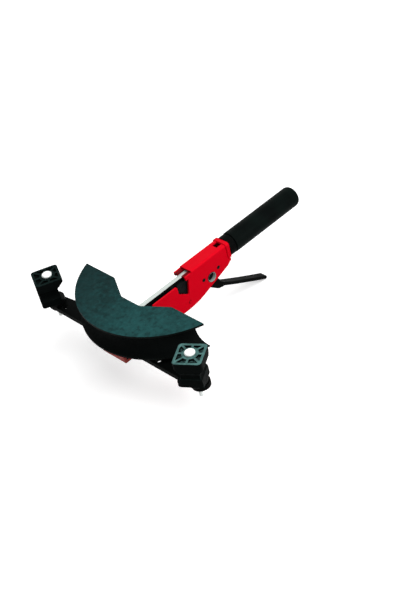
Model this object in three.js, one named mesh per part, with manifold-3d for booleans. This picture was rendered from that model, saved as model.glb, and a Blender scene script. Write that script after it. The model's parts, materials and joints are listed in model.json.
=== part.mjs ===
// Ratchet tube bender: a hand lever drives a toothed bar, which pushes a half-moon former
// between two pivoting slide blocks. Millimetres. X runs across the tool, +Y points to the grip,
// +Z is up. Sizes are measured from the arc centre of the former, on its top face.

import * as THREE from 'three';
import { mergeVertices } from 'three/addons/utils/BufferGeometryUtils.js';
import Module from 'manifold-3d';

const wasm = await Module();
wasm.setup();

// General fits
const seatGap = 0.3;          // between pieces that touch
const runGap = 0.35;          // between pieces that slide or turn
const overrun = 2;            // how far a cutting shape passes the wall it cuts
const quarterTurn = Math.PI / 2;
const degree = Math.PI / 180;
const holeSegments = 12;

// Tube to be bent and former
const tubeRadius = 13;
const slideClearance = 0.2;
const formerClearance = 1.4;
const bendRadius = 107;
const rimRadius = 108.8;
const lowerRimRadius = 110;
const upperLip = 2.6;
const lowerLip = 1.8;
const chordSetback = 37.6;
const notchMouthHalf = 50;
const notchFloorHalf = 16;
const notchFloorSetback = 56.5;
const formerPlate = 6;
const formerWall = 6.5;
const formerRib = 5;
const formerHubHalf = 21;
const formerRibTurn = 45 * degree;
const formerSegments = 108;
const grooveSegments = 10;

// Toothed bar, its head and the former's peg
const rackWidth = 6.5;
const rackHeight = 10.4;
const rackDrop = 15.6;        // former top face down to the bar's top
const headFrontGap = 2.1;     // bar's head to the former's rim wall
const rackRear = 76;          // behind the arc centre
const toothPitch = 4;
const toothDepth = 2.2;
const toothFlankShare = 0.35;
const teethFront = 2;         // first tooth, behind the arc centre
const headHalfWidth = 7.2;
const headLength = 22;
const headHeight = 13.6;
const pegRadius = 4.8;
const pegHeight = 9.5;
const pegSetback = 10;
const travelForward = 28;
const travelBack = 48;

// Folded shell
const shellHalfWidth = 10.3;
const sheet = 2.5;
const foldRadius = 2.8;
const shellTopDrop = 11;
const shellFront = 28;
const shellRear = 90.1;
const flareLength = 5;
const flareProud = 1.2;
const flareDrop = 31;
const tabDrop = 13.6;
const tabFront = 17.5;
const tabHeight = 4.8;
const cutoutTopRear = 21.5;
const cutoutBottomRear = 17;
const cutoutBottomFront = 3;
const cutoutDropRear = 38.5;
const cutoutDropFront = 29;
const armDrop = 17.8;         // right arm; the left one is lower, behind the bar
const leftArmDrop = 23.4;
const armFront = 35.6;
const armStep = 1.5;
const underFormerDrop = 36;
const beamSeatRear = 56;
const beamSeatDrop = 46.3;
const armEnd = 74;
const bellySlopeStart = 59;
const bellySlopeFront = 30;
const bellyFrontDrop = 56;
const bellyDrop = 58.3;
const bellyDeepest = 12;
const bellyRiseAt = 31;
const bellyRiseDrop = 56.4;
const heelFront = 84;
const heelDrop = 39;
const rearCornerDrop = 34;
const rearWallDrop = 37;
const windowHalf = 4.2;
const windowFront = 76.6;
const windowRear = 84.8;
const plateCorner = 2;
const bellyRound = 12;

// Cross pins and lever pivot
const pivotBack = 55.2;
const pivotDrop = 38.5;
const pivotRadius = 6.6;
const pivotBore = 5.8;
const pivotProud = 0.4;
const pivotChamfer = 0.3;
const stopPinBack = 67.8;
const stopPinDrop = 32.4;
const pawlPinBack = 42.7;
const pawlPinDrop = 34.8;
const crossPinRadius = 2.2;
const crossPinProud = 0.5;
const pinChamfer = 0.5;

// Yoke beam, nose bracket and their screws
const slideReach = 126;
const slideSetback = 81;
const beamTopDrop = 40;
const beamThickness = 6;
const beamFront = 88.4;
const beamRear = 58;
const beamShoulderHalf = 42;
const beamNeckRear = 68.4;
const beamShoulderRound = 14;
const beamEndRadius = 11;
const beamEndReach = 127.5;
const beamEndSetback = 78.4;
const beamHoleRadius = 4.2;
const beamHolePlaces = [62, 110];
const noseHalfWidth = 19.5;
const noseFront = 99;
const noseRear = 60;
const noseWall = 3.5;
const noseSpacerHeight = 4.4;
const noseLipRise = 1.5;      // front edge of the strap above the beam
const screwReach = 11.5;
const screwSetback = 82;
const screwRadius = 3;
const screwHeadRadius = 5.5;
const screwHeadHeight = 4;
const nutHeight = 4.5;
const screwProud = 1;

// Slide blocks and their pins
const slideAcross = 33.2;
const slideDeep = 33.2;
const slideBoreOffset = 1.2;     // bore nearer the tube than the block's middle
const slideHeight = 33.4;
const slideTopRise = 1.4;
const leftSlideTurn = -26 * degree;
const rightSlideTurn = 31 * degree;
const slideCorner = 4.6;
const slideGrooveDrop = 16.4;
const slideGrooveDepth = 9;
const slideLipSetback = 8.6;  // lower lip behind the upper one, on the tube's side
const slideEndSetback = 3;       // and at the block's outer end
const smallGrooveRadii = [10.2, 6, 8.1];
const smallGrooveDepths = [6.5, 1.6, 4.8];
const pocketDepth = 2.8;
const pocketRim = 3;
const slideBossRadius = 9.6;
const pocketRib = 2.6;
const pocketRibCount = 4;
const slideHeadRadius = 6.2;
const slidePinProud = 2.8;
const slidePinRadius = 4.6;
const slideShankRadius = 4.1;
const slidePinTipRadius = 2.4;
const slidePinEndDrop = 60.5;
const collarRadius = 12;
const ringRadius = 7.4;
const ringThickness = 1.6;
const ringGap = 0.4;

// Handle
const handleDrop = 21.5;
const handleRadius = 11.3;
const handleBore = 8.9;
const handleEnd = 204;
const ferruleRadius = 13;
const ferruleRound = 1.2;
const gripStart = 100.6;
const gripEnd = 214;
const gripRadius = 13.5;
const gripRound = 6;
const gripLip = 1;
const bushLength = 9;

// Hand lever, its places measured from its pivot
const leverHalfWidth = 5;
const cheekInner = 3.7;
const leverThickness = 4.4;
const leverRootBack = 14.5;
const leverRootDrop = 23.6;
const leverBowBack = 48;
const leverBowDrop = 43.2;
const leverTipBack = 84.2;
const leverTipDrop = 61.5;
const leverSwing = 25;

// Pawls and springs
const pawlArm = 9.5;
const pawlPinRadius = 1.5;
const pawlBossRadius = 2.5;
const pawlHalfWidth = 2.9;
const pawlNoseReach = 7.2;
const pawlTailReach = 8.2;
const pawlTailHalf = 1;
const catchNoseReach = 13.5;
const catchBossRadius = 3.4;
const catchForkHigh = 5.6;
const catchForkLow = 3.2;
const thumbPadFront = 4.8;
const thumbPadRear = 19.5;
const thumbPadDrop = 19.2;
const thumbBarDrop = 28;
const thumbBarLow = 34;
const returnWire = 0.9;
const returnSpringRadius = 3.2;
const returnSpringCurls = 12;
const pawlWire = 0.6;
const pawlSpringRadius = 1.2;
const pawlSpringCurls = 9;
const pawlSpringBack = 64;
const catchWire = 0.7;
const catchSpringRadius = 2.4;
const catchSpringCurls = 5;
const curlSteps = 8;
const wireSides = 5;
const anchorBack = 16;
const anchorDrop = 49;
const anchorRadius = 2;

// Guides
const stripFront = 30;
const stripRear = 74;
const stripHalf = 6.4;
const guideFront = 12;
const guideRear = 2;
const guideHeight = 6.4;

const redPaint = { color: 0xe80a28, roughness: 0.35, metalness: 0.0 };
const dullRed = { color: 0xb0483f, roughness: 0.5, metalness: 0.0 };
const blackPaint = { color: 0x121614, roughness: 0.45, metalness: 0.1 };
const greyCoat = { color: 0x3f5f5c, roughness: 0.55, metalness: 0.3 };
const brightSteel = { color: 0xc9d2cd, roughness: 0.3, metalness: 0.9 };
const blackSteel = { color: 0x1b1d1e, roughness: 0.5, metalness: 0.6 };
const rubber = { color: 0x0e1a17, roughness: 0.75, metalness: 0.0 };

// Heights and places that follow from the sizes above
const formerGroove = tubeRadius + formerClearance;
const slideGrooveRadius = tubeRadius + slideClearance;
const formerHeight = upperLip + 2 * formerGroove + lowerLip;
const formerWallRadius = bendRadius - formerGroove - formerWall;
const rackFront = formerWallRadius - headFrontGap;
const rackBottomDrop = rackDrop + rackHeight;
const innerHalf = shellHalfWidth - sheet;
const fillHalf = innerHalf - seatGap;
const beamBottomDrop = beamTopDrop + beamThickness;
const noseDrop = beamBottomDrop + 2 * seatGap + noseSpacerHeight + noseWall;
const noseTopDrop = beamTopDrop - noseLipRise;
const armEndDrop = noseDrop - noseWall - seatGap;
const slideBottomDrop = slideHeight - slideTopRise;
const pawlPinBackAtRest = pivotBack + pawlArm * Math.sin(leverSwing / 2 * degree);
const pawlPinDropAtRest = pivotDrop - pawlArm * Math.cos(leverSwing / 2 * degree);

// Solids

function toSolid(geometry) {
  const bare = geometry.clone();
  bare.deleteAttribute('normal');
  bare.deleteAttribute('uv');
  const merged = mergeVertices(bare);
  const place = merged.attributes.position;
  const index = merged.index.array;
  const kept = [];
  let volume = 0;
  const a = new THREE.Vector3();
  const b = new THREE.Vector3();
  const c = new THREE.Vector3();
  for (let i = 0; i < index.length; i += 3) {
    const [p, q, r] = [index[i], index[i + 1], index[i + 2]];
    if (p === q || q === r || r === p) continue;
    kept.push(p, q, r);
    a.fromBufferAttribute(place, p);
    b.fromBufferAttribute(place, q);
    c.fromBufferAttribute(place, r);
    volume += a.dot(b.cross(c));
  }
  if (volume < 0) {
    for (let i = 0; i < kept.length; i += 3) [kept[i], kept[i + 1]] = [kept[i + 1], kept[i]];
  }
  const vertProperties = new Float32Array(place.array);
  return new wasm.Manifold(new wasm.Mesh({ numProp: 3, vertProperties, triVerts: new Uint32Array(kept) }));
}

function toGeometry(solid) {
  const mesh = solid.getMesh();
  const geometry = new THREE.BufferGeometry();
  geometry.setAttribute('position', new THREE.BufferAttribute(mesh.vertProperties, 3));
  geometry.setIndex(new THREE.BufferAttribute(mesh.triVerts, 1));
  geometry.computeVertexNormals();
  return geometry;
}

function joined(solids) {
  return solids.reduce((whole, next) => whole.add(next));
}

function cutBy(solid, cutters) {
  return cutters.reduce((rest, cutter) => rest.subtract(cutter), solid);
}

const sideways = new THREE.Matrix4().makeBasis(
  new THREE.Vector3(0, 1, 0), new THREE.Vector3(0, 0, 1), new THREE.Vector3(1, 0, 0));
const lengthways = new THREE.Matrix4().makeBasis(
  new THREE.Vector3(1, 0, 0), new THREE.Vector3(0, 0, 1), new THREE.Vector3(0, -1, 0));

// An outline in Y and Z, made solid from xLow to xHigh
function acrossPrism(shape, xLow, xHigh, curveSegments = 6) {
  const options = { depth: xHigh - xLow, bevelEnabled: false, curveSegments };
  const geometry = new THREE.ExtrudeGeometry(shape, options);
  geometry.translate(0, 0, xLow);
  return toSolid(geometry.applyMatrix4(sideways));
}

// An outline in X and Y, made solid from zLow to zHigh
function uprightPrism(shape, zLow, zHigh, curveSegments = 6) {
  const options = { depth: zHigh - zLow, bevelEnabled: false, curveSegments };
  const geometry = new THREE.ExtrudeGeometry(shape, options);
  geometry.translate(0, 0, zLow);
  return toSolid(geometry);
}

// An outline in X and Z, made solid from yLow to yHigh
function alongPrism(shape, yLow, yHigh, curveSegments = 6) {
  const options = { depth: yHigh - yLow, bevelEnabled: false, curveSegments };
  const geometry = new THREE.ExtrudeGeometry(shape, options);
  geometry.translate(0, 0, -yHigh);
  return toSolid(geometry.applyMatrix4(lengthways));
}

function boxSolid(low, high) {
  const size = high.map((value, i) => value - low[i]);
  const geometry = new THREE.BoxGeometry(...size);
  geometry.translate(...low.map((value, i) => value + size[i] / 2));
  return toSolid(geometry);
}

// A closed outline whose corners are rounded by the same radius, or by one radius each
function roundedShape(points, radii) {
  const corners = points.map(([u, v]) => new THREE.Vector2(u, v));
  const shape = new THREE.Shape();
  corners.forEach((corner, i) => {
    const before = corners[(i + corners.length - 1) % corners.length];
    const after = corners[(i + 1) % corners.length];
    const radius = Array.isArray(radii) ? radii[i] : radii;
    const back = before.clone().sub(corner);
    const on = after.clone().sub(corner);
    const setback = Math.min(radius, back.length() / 2, on.length() / 2);
    const start = corner.clone().add(back.setLength(setback));
    const end = corner.clone().add(on.setLength(setback));
    if (i === 0) shape.moveTo(start.x, start.y);
    else shape.lineTo(start.x, start.y);
    if (setback > 0) shape.quadraticCurveTo(corner.x, corner.y, end.x, end.y);
  });
  shape.closePath();
  return shape;
}

function circleShape(u, v, radius) {
  const shape = new THREE.Shape();
  shape.absarc(u, v, radius, 0, 2 * Math.PI);
  return shape;
}

// A turned piece on an upright axis; the profile lists radius and height
function turned(profile, segments, x = 0, y = 0) {
  const points = profile.map(([radius, height]) => new THREE.Vector2(radius, height));
  const geometry = new THREE.LatheGeometry(points, segments);
  geometry.rotateX(quarterTurn);
  geometry.translate(x, y, 0);
  return toSolid(geometry);
}

// A turned piece on an axis along X
function turnedAcross(profile, segments, y, z) {
  const points = profile.map(([radius, height]) => new THREE.Vector2(radius, height));
  const geometry = new THREE.LatheGeometry(points, segments);
  geometry.rotateZ(-quarterTurn);
  geometry.translate(0, y, z);
  return toSolid(geometry);
}

// A turned piece on an axis along Y
function turnedAlong(profile, segments, z) {
  const points = profile.map(([radius, height]) => new THREE.Vector2(radius, height));
  const geometry = new THREE.LatheGeometry(points, segments);
  geometry.translate(0, 0, z);
  return toSolid(geometry);
}

function plainPin(radius, low, high, chamfer) {
  return [[0, low], [radius - chamfer, low], [radius, low + chamfer],
    [radius, high - chamfer], [radius - chamfer, high], [0, high]];
}

const assembly = new THREE.Group();

function addPiece(name, solid, finish) {
  const mesh = new THREE.Mesh(toGeometry(solid), new THREE.MeshStandardMaterial(finish));
  mesh.name = name;
  assembly.add(mesh);
}

// Former

function formerProfile() {
  const profile = [[0, 0], [rimRadius, 0], [rimRadius, -upperLip]];
  for (let i = 0; i <= grooveSegments; i += 1) {
    const angle = Math.PI * i / grooveSegments;
    const depth = formerGroove * Math.sin(angle);
    profile.push([bendRadius - depth, formerGroove * (Math.cos(angle) - 1) - upperLip]);
  }
  profile.push([lowerRimRadius, lowerLip - formerHeight]);
  profile.push([lowerRimRadius, -formerHeight], [0, -formerHeight]);
  return profile;
}

function formerOutline(inset, side) {
  const chord = -chordSetback - inset;
  const floor = -notchFloorSetback - inset;
  return roundedShape([
    [-side, chord], [-notchMouthHalf - inset / 2, chord], [-notchFloorHalf - inset / 2, floor],
    [notchFloorHalf + inset / 2, floor], [notchMouthHalf + inset / 2, chord], [side, chord],
    [side, -side], [-side, -side],
  ], [0, plateCorner, plateCorner, plateCorner, plateCorner, 0, 0, 0]);
}

function former() {
  const side = lowerRimRadius + overrun;
  const disc = turned(formerProfile(), formerSegments);
  const moon = disc.intersect(uprightPrism(formerOutline(0, side), -formerHeight - overrun, overrun));
  const low = -formerHeight - overrun;
  const core = turned([[0, low], [formerWallRadius, low], [formerWallRadius, -formerPlate],
    [0, -formerPlate]], formerSegments / 2);
  const inset = uprightPrism(formerOutline(formerRib, side), low, -formerPlate + overrun);
  const hub = boxSolid([-formerHubHalf, -side, low - overrun], [formerHubHalf, side, overrun]);
  const ribs = [-1, 1].map((hand) => {
    const rib = boxSolid([-formerRib / 2, -side, low - overrun], [formerRib / 2, 0, overrun]);
    return rib.rotate([0, 0, hand * formerRibTurn / degree]);
  });
  const pockets = cutBy(core.intersect(inset), [hub, ...ribs]);
  const channelHalf = shellHalfWidth + 2 * runGap;
  const channel = boxSolid([-channelHalf, -formerWallRadius, low], [channelHalf, side, -rackDrop + seatGap]);
  const pegBore = pegRadius + seatGap;
  const pegTop = pegHeight - rackDrop + seatGap;
  const pegHole = turned([[0, low], [pegBore, low], [pegBore, pegTop], [0, pegTop]],
    24, 0, pegSetback - rackFront);
  return cutBy(moon, [pockets, channel, pegHole]);
}

// Toothed bar

function rack() {
  const points = [[-rackFront + headLength + seatGap, -rackDrop], [rackRear, -rackDrop],
    [rackRear, -rackBottomDrop]];
  const flank = toothFlankShare * toothPitch;
  const land = (toothPitch - flank) / 4;
  const count = Math.floor((rackRear - teethFront - toothPitch) / toothPitch);
  for (let i = count; i > 0; i -= 1) {
    const at = teethFront + i * toothPitch;
    points.push([at, -rackBottomDrop], [at - land, toothDepth - rackBottomDrop],
      [at - 2 * land, toothDepth - rackBottomDrop], [at - toothPitch + land, -rackBottomDrop]);
  }
  points.push([-rackFront + headLength + seatGap, -rackBottomDrop]);
  return acrossPrism(roundedShape(points, 0), -rackWidth / 2, rackWidth / 2);
}

function rackHead() {
  const rear = headLength - rackFront;
  const shape = roundedShape([[-headHalfWidth, -rackFront], [headHalfWidth, -rackFront],
    [headHalfWidth, rear], [-headHalfWidth, rear]], plateCorner);
  const block = uprightPrism(shape, -rackDrop - headHeight, -rackDrop);
  const low = -rackDrop - headHeight - overrun;
  const bore = pegRadius + seatGap;
  return block.subtract(turned([[0, low], [bore, low], [bore, overrun], [0, overrun]],
    24, 0, pegSetback - rackFront));
}

function formerPeg() {
  return turned(plainPin(pegRadius, -rackDrop - headHeight, pegHeight - rackDrop, pinChamfer),
    24, 0, pegSetback - rackFront);
}

// Shell

function foldedSection() {
  const half = shellHalfWidth;
  const foot = -bellyDrop - overrun;
  const shape = roundedShape([[-half, -shellTopDrop], [half, -shellTopDrop], [half, foot],
    [innerHalf, foot], [innerHalf, -shellTopDrop - sheet], [-innerHalf, -shellTopDrop - sheet],
    [-innerHalf, foot], [-half, foot]],
  [foldRadius, foldRadius, 0, 0, foldRadius - sheet, foldRadius - sheet, 0, 0]);
  return alongPrism(shape, -armEnd - overrun, shellRear + overrun, 4);
}

function shellSide(armTop) {
  const tabBottom = -tabDrop - tabHeight;
  return roundedShape([
    [shellRear, -shellTopDrop + overrun], [shellFront, -shellTopDrop + overrun],
    [shellFront, -tabDrop], [tabFront, -tabDrop], [tabFront, tabBottom],
    [cutoutTopRear, tabBottom], [cutoutBottomRear, -cutoutDropRear],
    [cutoutBottomFront, -cutoutDropFront], [cutoutBottomFront, -armTop], [-armFront, -armTop],
    [-armFront - armStep, -underFormerDrop], [-beamSeatRear, -underFormerDrop],
    [-beamSeatRear, -beamSeatDrop], [-armEnd, -beamSeatDrop], [-armEnd, -armEndDrop],
    [-bellySlopeStart, -armEndDrop], [-bellySlopeFront, -bellyFrontDrop], [bellyDeepest, -bellyDrop],
    [bellyRiseAt, -bellyRiseDrop], [heelFront, -heelDrop], [shellRear - plateCorner / 2, -rearCornerDrop],
  ], [0, 0, 0, plateCorner / 2, plateCorner / 2, 0, plateCorner, plateCorner, plateCorner,
    plateCorner, plateCorner, plateCorner, plateCorner / 2, 0, 0, 0, bellyRound, bellyRound,
    bellyRound, foldRadius, plateCorner]);
}

// Raised band round the rear edge of the folded sheet
function rearFlare() {
  const half = shellHalfWidth + flareProud;
  const top = flareProud - shellTopDrop;
  const mid = shellHalfWidth - sheet / 2;
  const outer = foldRadius + flareProud;
  const shape = roundedShape([[-half, top], [half, top], [half, -flareDrop], [mid, -flareDrop],
    [mid, -shellTopDrop - sheet / 2], [-mid, -shellTopDrop - sheet / 2], [-mid, -flareDrop],
    [-half, -flareDrop]],
  [outer, outer, flareProud, 0, foldRadius - sheet / 2, foldRadius - sheet / 2, 0, flareProud]);
  return alongPrism(shape, shellRear - flareLength, shellRear, 4);
}

function crossHole(y, z, radius) {
  return acrossPrism(circleShape(y, z, radius), -shellHalfWidth - overrun, shellHalfWidth + overrun,
    holeSegments);
}

function shell() {
  const wide = shellHalfWidth + overrun;
  const leftSide = acrossPrism(shellSide(leftArmDrop), -wide, 0);
  const rightSide = acrossPrism(shellSide(armDrop), 0, wide);
  const lips = boxSolid([-innerHalf - sheet / 2, tabFront, -tabDrop - sheet],
    [innerHalf + sheet / 2, shellFront + seatGap, -tabDrop]);
  const barWay = rackWidth / 2 + runGap;
  const tabLips = lips.subtract(boxSolid([-barWay, tabFront - overrun, -tabDrop - sheet - overrun],
    [barWay, shellFront + overrun, overrun]));
  const plates = joined([foldedSection().intersect(joined([leftSide, rightSide])), tabLips]);
  const rearWall = boxSolid([-innerHalf - sheet / 2, shellRear - sheet, -rearWallDrop],
    [innerHalf + sheet / 2, shellRear, -shellTopDrop - sheet / 2]);
  const rearHole = turnedAlong([[0, shellRear - sheet - overrun], [handleBore, shellRear - sheet - overrun],
    [handleBore, shellRear + overrun], [0, shellRear + overrun]], 24, -handleDrop);
  const window = boxSolid([-windowHalf, windowFront, -shellTopDrop - sheet - overrun],
    [windowHalf, windowRear, -shellTopDrop + overrun]);
  const holes = [
    crossHole(pivotBack, -pivotDrop, pivotRadius + seatGap),
    crossHole(stopPinBack, -stopPinDrop, crossPinRadius + seatGap),
    crossHole(pawlPinBack, -pawlPinDrop, crossPinRadius + seatGap),
    crossHole(anchorBack, -anchorDrop, anchorRadius + seatGap),
  ];
  return cutBy(joined([plates, rearFlare(), rearWall]), [rearHole, window, ...holes]);
}

// Pins through the shell

function leverPivot() {
  const end = shellHalfWidth + pivotProud;
  const rim = pivotRadius - pivotChamfer;
  return turnedAcross([[pivotBore, -end], [rim, -end], [pivotRadius, pivotChamfer - end],
    [pivotRadius, end - pivotChamfer], [rim, end], [pivotBore, end], [pivotBore, -end]],
  28, pivotBack, -pivotDrop);
}

function crossPin(back, drop, radius) {
  const end = shellHalfWidth + crossPinProud;
  return turnedAcross(plainPin(radius, -end, end, pinChamfer), 16, back, -drop);
}

// Beam and nose

function yokeBeam() {
  const low = -beamBottomDrop;
  const high = -beamTopDrop;
  const plate = uprightPrism(roundedShape([
    [-beamEndReach, -beamFront], [beamEndReach, -beamFront], [beamEndReach, -beamNeckRear],
    [beamShoulderHalf, -beamRear], [-beamShoulderHalf, -beamRear], [-beamEndReach, -beamNeckRear],
  ], [0, 0, 0, beamShoulderRound, beamShoulderRound, 0]), low, high);
  const ends = [-1, 1].map((hand) => uprightPrism(
    circleShape(hand * beamEndReach, -beamEndSetback, beamEndRadius), low, high, 12));
  const holes = [];
  for (const hand of [-1, 1]) {
    for (const place of beamHolePlaces) {
      holes.push(uprightPrism(circleShape(hand * place, -slideSetback, beamHoleRadius),
        low - overrun, high + overrun, 8));
    }
    holes.push(uprightPrism(circleShape(hand * slideReach, -slideSetback, slideShankRadius + seatGap),
      low - overrun, high + overrun, 8));
    holes.push(uprightPrism(circleShape(hand * screwReach, -screwSetback, screwRadius + seatGap),
      low - overrun, high + overrun, 8));
  }
  return cutBy(joined([plate, ...ends]), holes);
}

function noseBracket() {
  const section = roundedShape([[-noseFront, -noseTopDrop], [-noseFront + noseWall, -noseTopDrop],
    [-noseFront + noseWall, -noseDrop + noseWall], [-noseRear, -noseDrop + noseWall],
    [-noseRear, -noseDrop], [-noseFront, -noseDrop]],
  [0, 0, 0, 0, 0, foldRadius]);
  const strap = acrossPrism(section, -noseHalfWidth, noseHalfWidth);
  const holes = [-1, 1].map((hand) => uprightPrism(
    circleShape(hand * screwReach, -screwSetback, screwRadius + seatGap),
    -noseDrop - overrun, -noseDrop + noseWall + overrun, 8));
  return cutBy(strap, holes);
}

function noseSpacer() {
  const half = noseHalfWidth - seatGap;
  const block = boxSolid([-half, noseWall + seatGap - noseFront, -noseDrop + noseWall + seatGap],
    [half, -armEnd - seatGap, -beamBottomDrop - seatGap]);
  const holes = [-1, 1].map((hand) => uprightPrism(
    circleShape(hand * screwReach, -screwSetback, screwRadius + seatGap),
    -noseDrop - overrun, -beamTopDrop, 8));
  return cutBy(block, holes);
}

function hexShape(x, y, radius) {
  const points = [];
  for (let i = 0; i < 6; i += 1) {
    const angle = i * Math.PI / 3;
    points.push([x + radius * Math.cos(angle), y + radius * Math.sin(angle)]);
  }
  return roundedShape(points, 0);
}

function beamScrew(hand) {
  const x = hand * screwReach;
  const headTop = -noseDrop - seatGap;
  const headLow = headTop - screwHeadHeight;
  const end = -beamTopDrop + nutHeight + seatGap + screwProud;
  const shank = turned([[0, headLow], [screwRadius, headLow], [screwRadius, end - pinChamfer],
    [screwRadius - pinChamfer, end], [0, end]], 16, x, -screwSetback);
  return shank.add(uprightPrism(hexShape(x, -screwSetback, screwHeadRadius), headLow, headTop));
}

function beamNut(hand) {
  const x = hand * screwReach;
  const low = -beamTopDrop + seatGap;
  const nut = uprightPrism(hexShape(x, -screwSetback, screwHeadRadius), low, low + nutHeight);
  return nut.subtract(uprightPrism(circleShape(x, -screwSetback, screwRadius + seatGap),
    low - overrun, low + nutHeight + overrun, 8));
}

// Slide blocks, drawn square and then turned about their pins

function slideGroove(radius, depth, reach) {
  const shape = circleShape(reach + radius - depth, -slideGrooveDrop, radius);
  return alongPrism(shape, -slideAcross, slideAcross, 12);
}

function slideBlock(hand) {
  const [u, v] = [slideAcross / 2, slideDeep / 2];
  const low = -slideBottomDrop;
  const block = uprightPrism(roundedShape([[-u, -v], [u, -v], [u, v], [-u, v]], slideCorner),
    low, slideTopRise, 4);
  const tubeGroove = slideGroove(slideGrooveRadius, slideGrooveDepth, v).rotate([0, 0, 90]);
  const others = smallGrooveRadii.map((radius, i) => {
    const reach = i === 1 ? v : u;
    return slideGroove(radius, smallGrooveDepths[i], reach).rotate([0, 0, 180 + 90 * i]);
  });
  const [pu, pv] = [u - pocketRim, v - pocketRim];
  const pocketOutline = roundedShape([[-pu, -pv], [pu, -pv], [pu, pv], [-pu, pv]], slideCorner);
  const pocketArea = uprightPrism(pocketOutline,
    slideTopRise - pocketDepth, slideTopRise + overrun, 4);
  const boss = uprightPrism(circleShape(0, slideBoreOffset, slideBossRadius),
    low, slideTopRise + overrun, 12);
  const ribs = [];
  for (let i = 0; i < pocketRibCount; i += 1) {
    const rib = boxSolid([-slideAcross, -pocketRib / 2, low],
      [slideAcross, pocketRib / 2, slideTopRise + overrun]);
    ribs.push(rib.rotate([0, 0, i * Math.PI / pocketRibCount / degree])
      .translate([0, slideBoreOffset, 0]));
  }
  const pockets = cutBy(pocketArea, [boss, ...ribs]);
  const bore = uprightPrism(circleShape(0, 0, slidePinRadius + runGap),
    low - overrun, slideTopRise + overrun, 14);
  const lipStep = boxSolid([-slideAcross, v - slideLipSetback, low - overrun],
    [slideAcross, v + overrun, -slideGrooveDrop]);
  const outer = hand < 0 ? [-slideAcross, slideEndSetback - u] : [u - slideEndSetback, slideAcross];
  const endStep = boxSolid([outer[0], -slideDeep, low - overrun],
    [outer[1], slideDeep, -slideGrooveDrop]);
  const cut = cutBy(block, [tubeGroove, ...others, lipStep, endStep, pockets])
    .translate([0, -slideBoreOffset, 0]).subtract(bore);
  const turn = hand < 0 ? leftSlideTurn : rightSlideTurn;
  return cut.rotate([0, 0, turn / degree]).translate([hand * slideReach, -slideSetback, 0]);
}

function slidePin(hand) {
  const top = slideTopRise + slidePinProud;
  const seat = -beamTopDrop + seatGap;
  const shankEnd = -beamBottomDrop - ringThickness - 2 * ringGap;
  const headSeat = slideTopRise + seatGap;
  const profile = [[0, -slidePinEndDrop], [slidePinTipRadius - pinChamfer, -slidePinEndDrop],
    [slidePinTipRadius, -slidePinEndDrop + pinChamfer], [slidePinTipRadius, shankEnd],
    [slideShankRadius, shankEnd], [slideShankRadius, seat], [slidePinRadius, seat],
    [slidePinRadius, headSeat], [slideHeadRadius, headSeat], [slideHeadRadius, top - 2 * pinChamfer],
    [slideHeadRadius - 2 * pinChamfer, top], [0, top]];
  return turned(profile, 28, hand * slideReach, -slideSetback);
}

function slideCollar(hand) {
  const low = -beamTopDrop + seatGap;
  const high = -slideBottomDrop - seatGap;
  const bore = slidePinRadius + seatGap;
  return turned([[bore, low], [collarRadius - pinChamfer, low], [collarRadius, low + pinChamfer],
    [collarRadius, high - pinChamfer], [collarRadius - pinChamfer, high], [bore, high], [bore, low]],
  28, hand * slideReach, -slideSetback);
}

function retainingRing(hand) {
  const high = -beamBottomDrop - seatGap;
  const low = high - ringThickness;
  const bore = slideShankRadius + seatGap;
  return turned([[bore, low], [ringRadius, low], [ringRadius, high], [bore, high], [bore, low]],
    24, hand * slideReach, -slideSetback);
}

// Handle

function handleTube() {
  const low = shellRear + seatGap;
  const step = gripStart - seatGap;
  return turnedAlong([[handleBore, low], [ferruleRadius, low], [ferruleRadius, step - ferruleRound],
    [ferruleRadius - ferruleRound, step], [handleRadius, step], [handleRadius, handleEnd],
    [handleBore, handleEnd], [handleBore, low]], 28, -handleDrop);
}

function grip() {
  const bore = handleRadius + seatGap;
  const profile = [[bore, gripStart], [gripRadius - gripLip, gripStart], [gripRadius, gripStart + gripLip]];
  const steps = 5;
  for (let i = 0; i <= steps; i += 1) {
    const angle = quarterTurn * i / steps;
    profile.push([gripRadius + gripRound * (Math.cos(angle) - 1),
      gripEnd + gripRound * (Math.sin(angle) - 1)]);
  }
  profile.push([0, gripEnd], [0, handleEnd + seatGap], [bore, handleEnd + seatGap], [bore, gripStart]);
  return turnedAlong(profile, 32, -handleDrop);
}

function rearBush() {
  const low = shellRear + 2 * seatGap;
  const radius = handleBore - seatGap;
  const round = turnedAlong([[0, low], [radius, low], [radius, low + bushLength], [0, low + bushLength]],
    24, -handleDrop);
  const half = rackWidth / 2 + runGap;
  return round.subtract(boxSolid([-half, low - overrun, -rackBottomDrop - runGap],
    [half, low + bushLength + overrun, -rackDrop + runGap]));
}

// Lever: two cheeks beside the drive pawl, a web below the pivot and a flat handle

// Cheek and web outlines about the pivot, as shares of the pawl arm's length
const cheekWaistShares = [-0.92, -0.48];
const cheekFootShares = [-0.59, -1.38];
const cheekFrontShares = [[-0.15, 1.3], [-0.62, 0.75], [-0.97, 0.16], cheekWaistShares, cheekFootShares];
const cheekRearShares = [[1.35, -1.75], [1.03, -0.85], [1.03, 0.1]];
const webTopShare = 1.02;
const webShares = [[-0.6, -webTopShare], [-0.43, -1.44], [0.87, -2.62], [1.7, -2.77], [2.02, -2.5],
  [1.28, -1.86], [0.91, -webTopShare]];

// Where the cheeks reach the root of the handle, as shares of its thickness
const neckShares = [[-1.5, -0.25], [0.5, -0.75], [1.5, 0]];

function aboutPivot(points) {
  return points.map(([back, rise]) => [pivotBack + back, rise - pivotDrop]);
}

function placed(shares, size, back = 0, rise = 0) {
  return shares.map(([u, v]) => [back + u * size, rise + v * size]);
}

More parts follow.
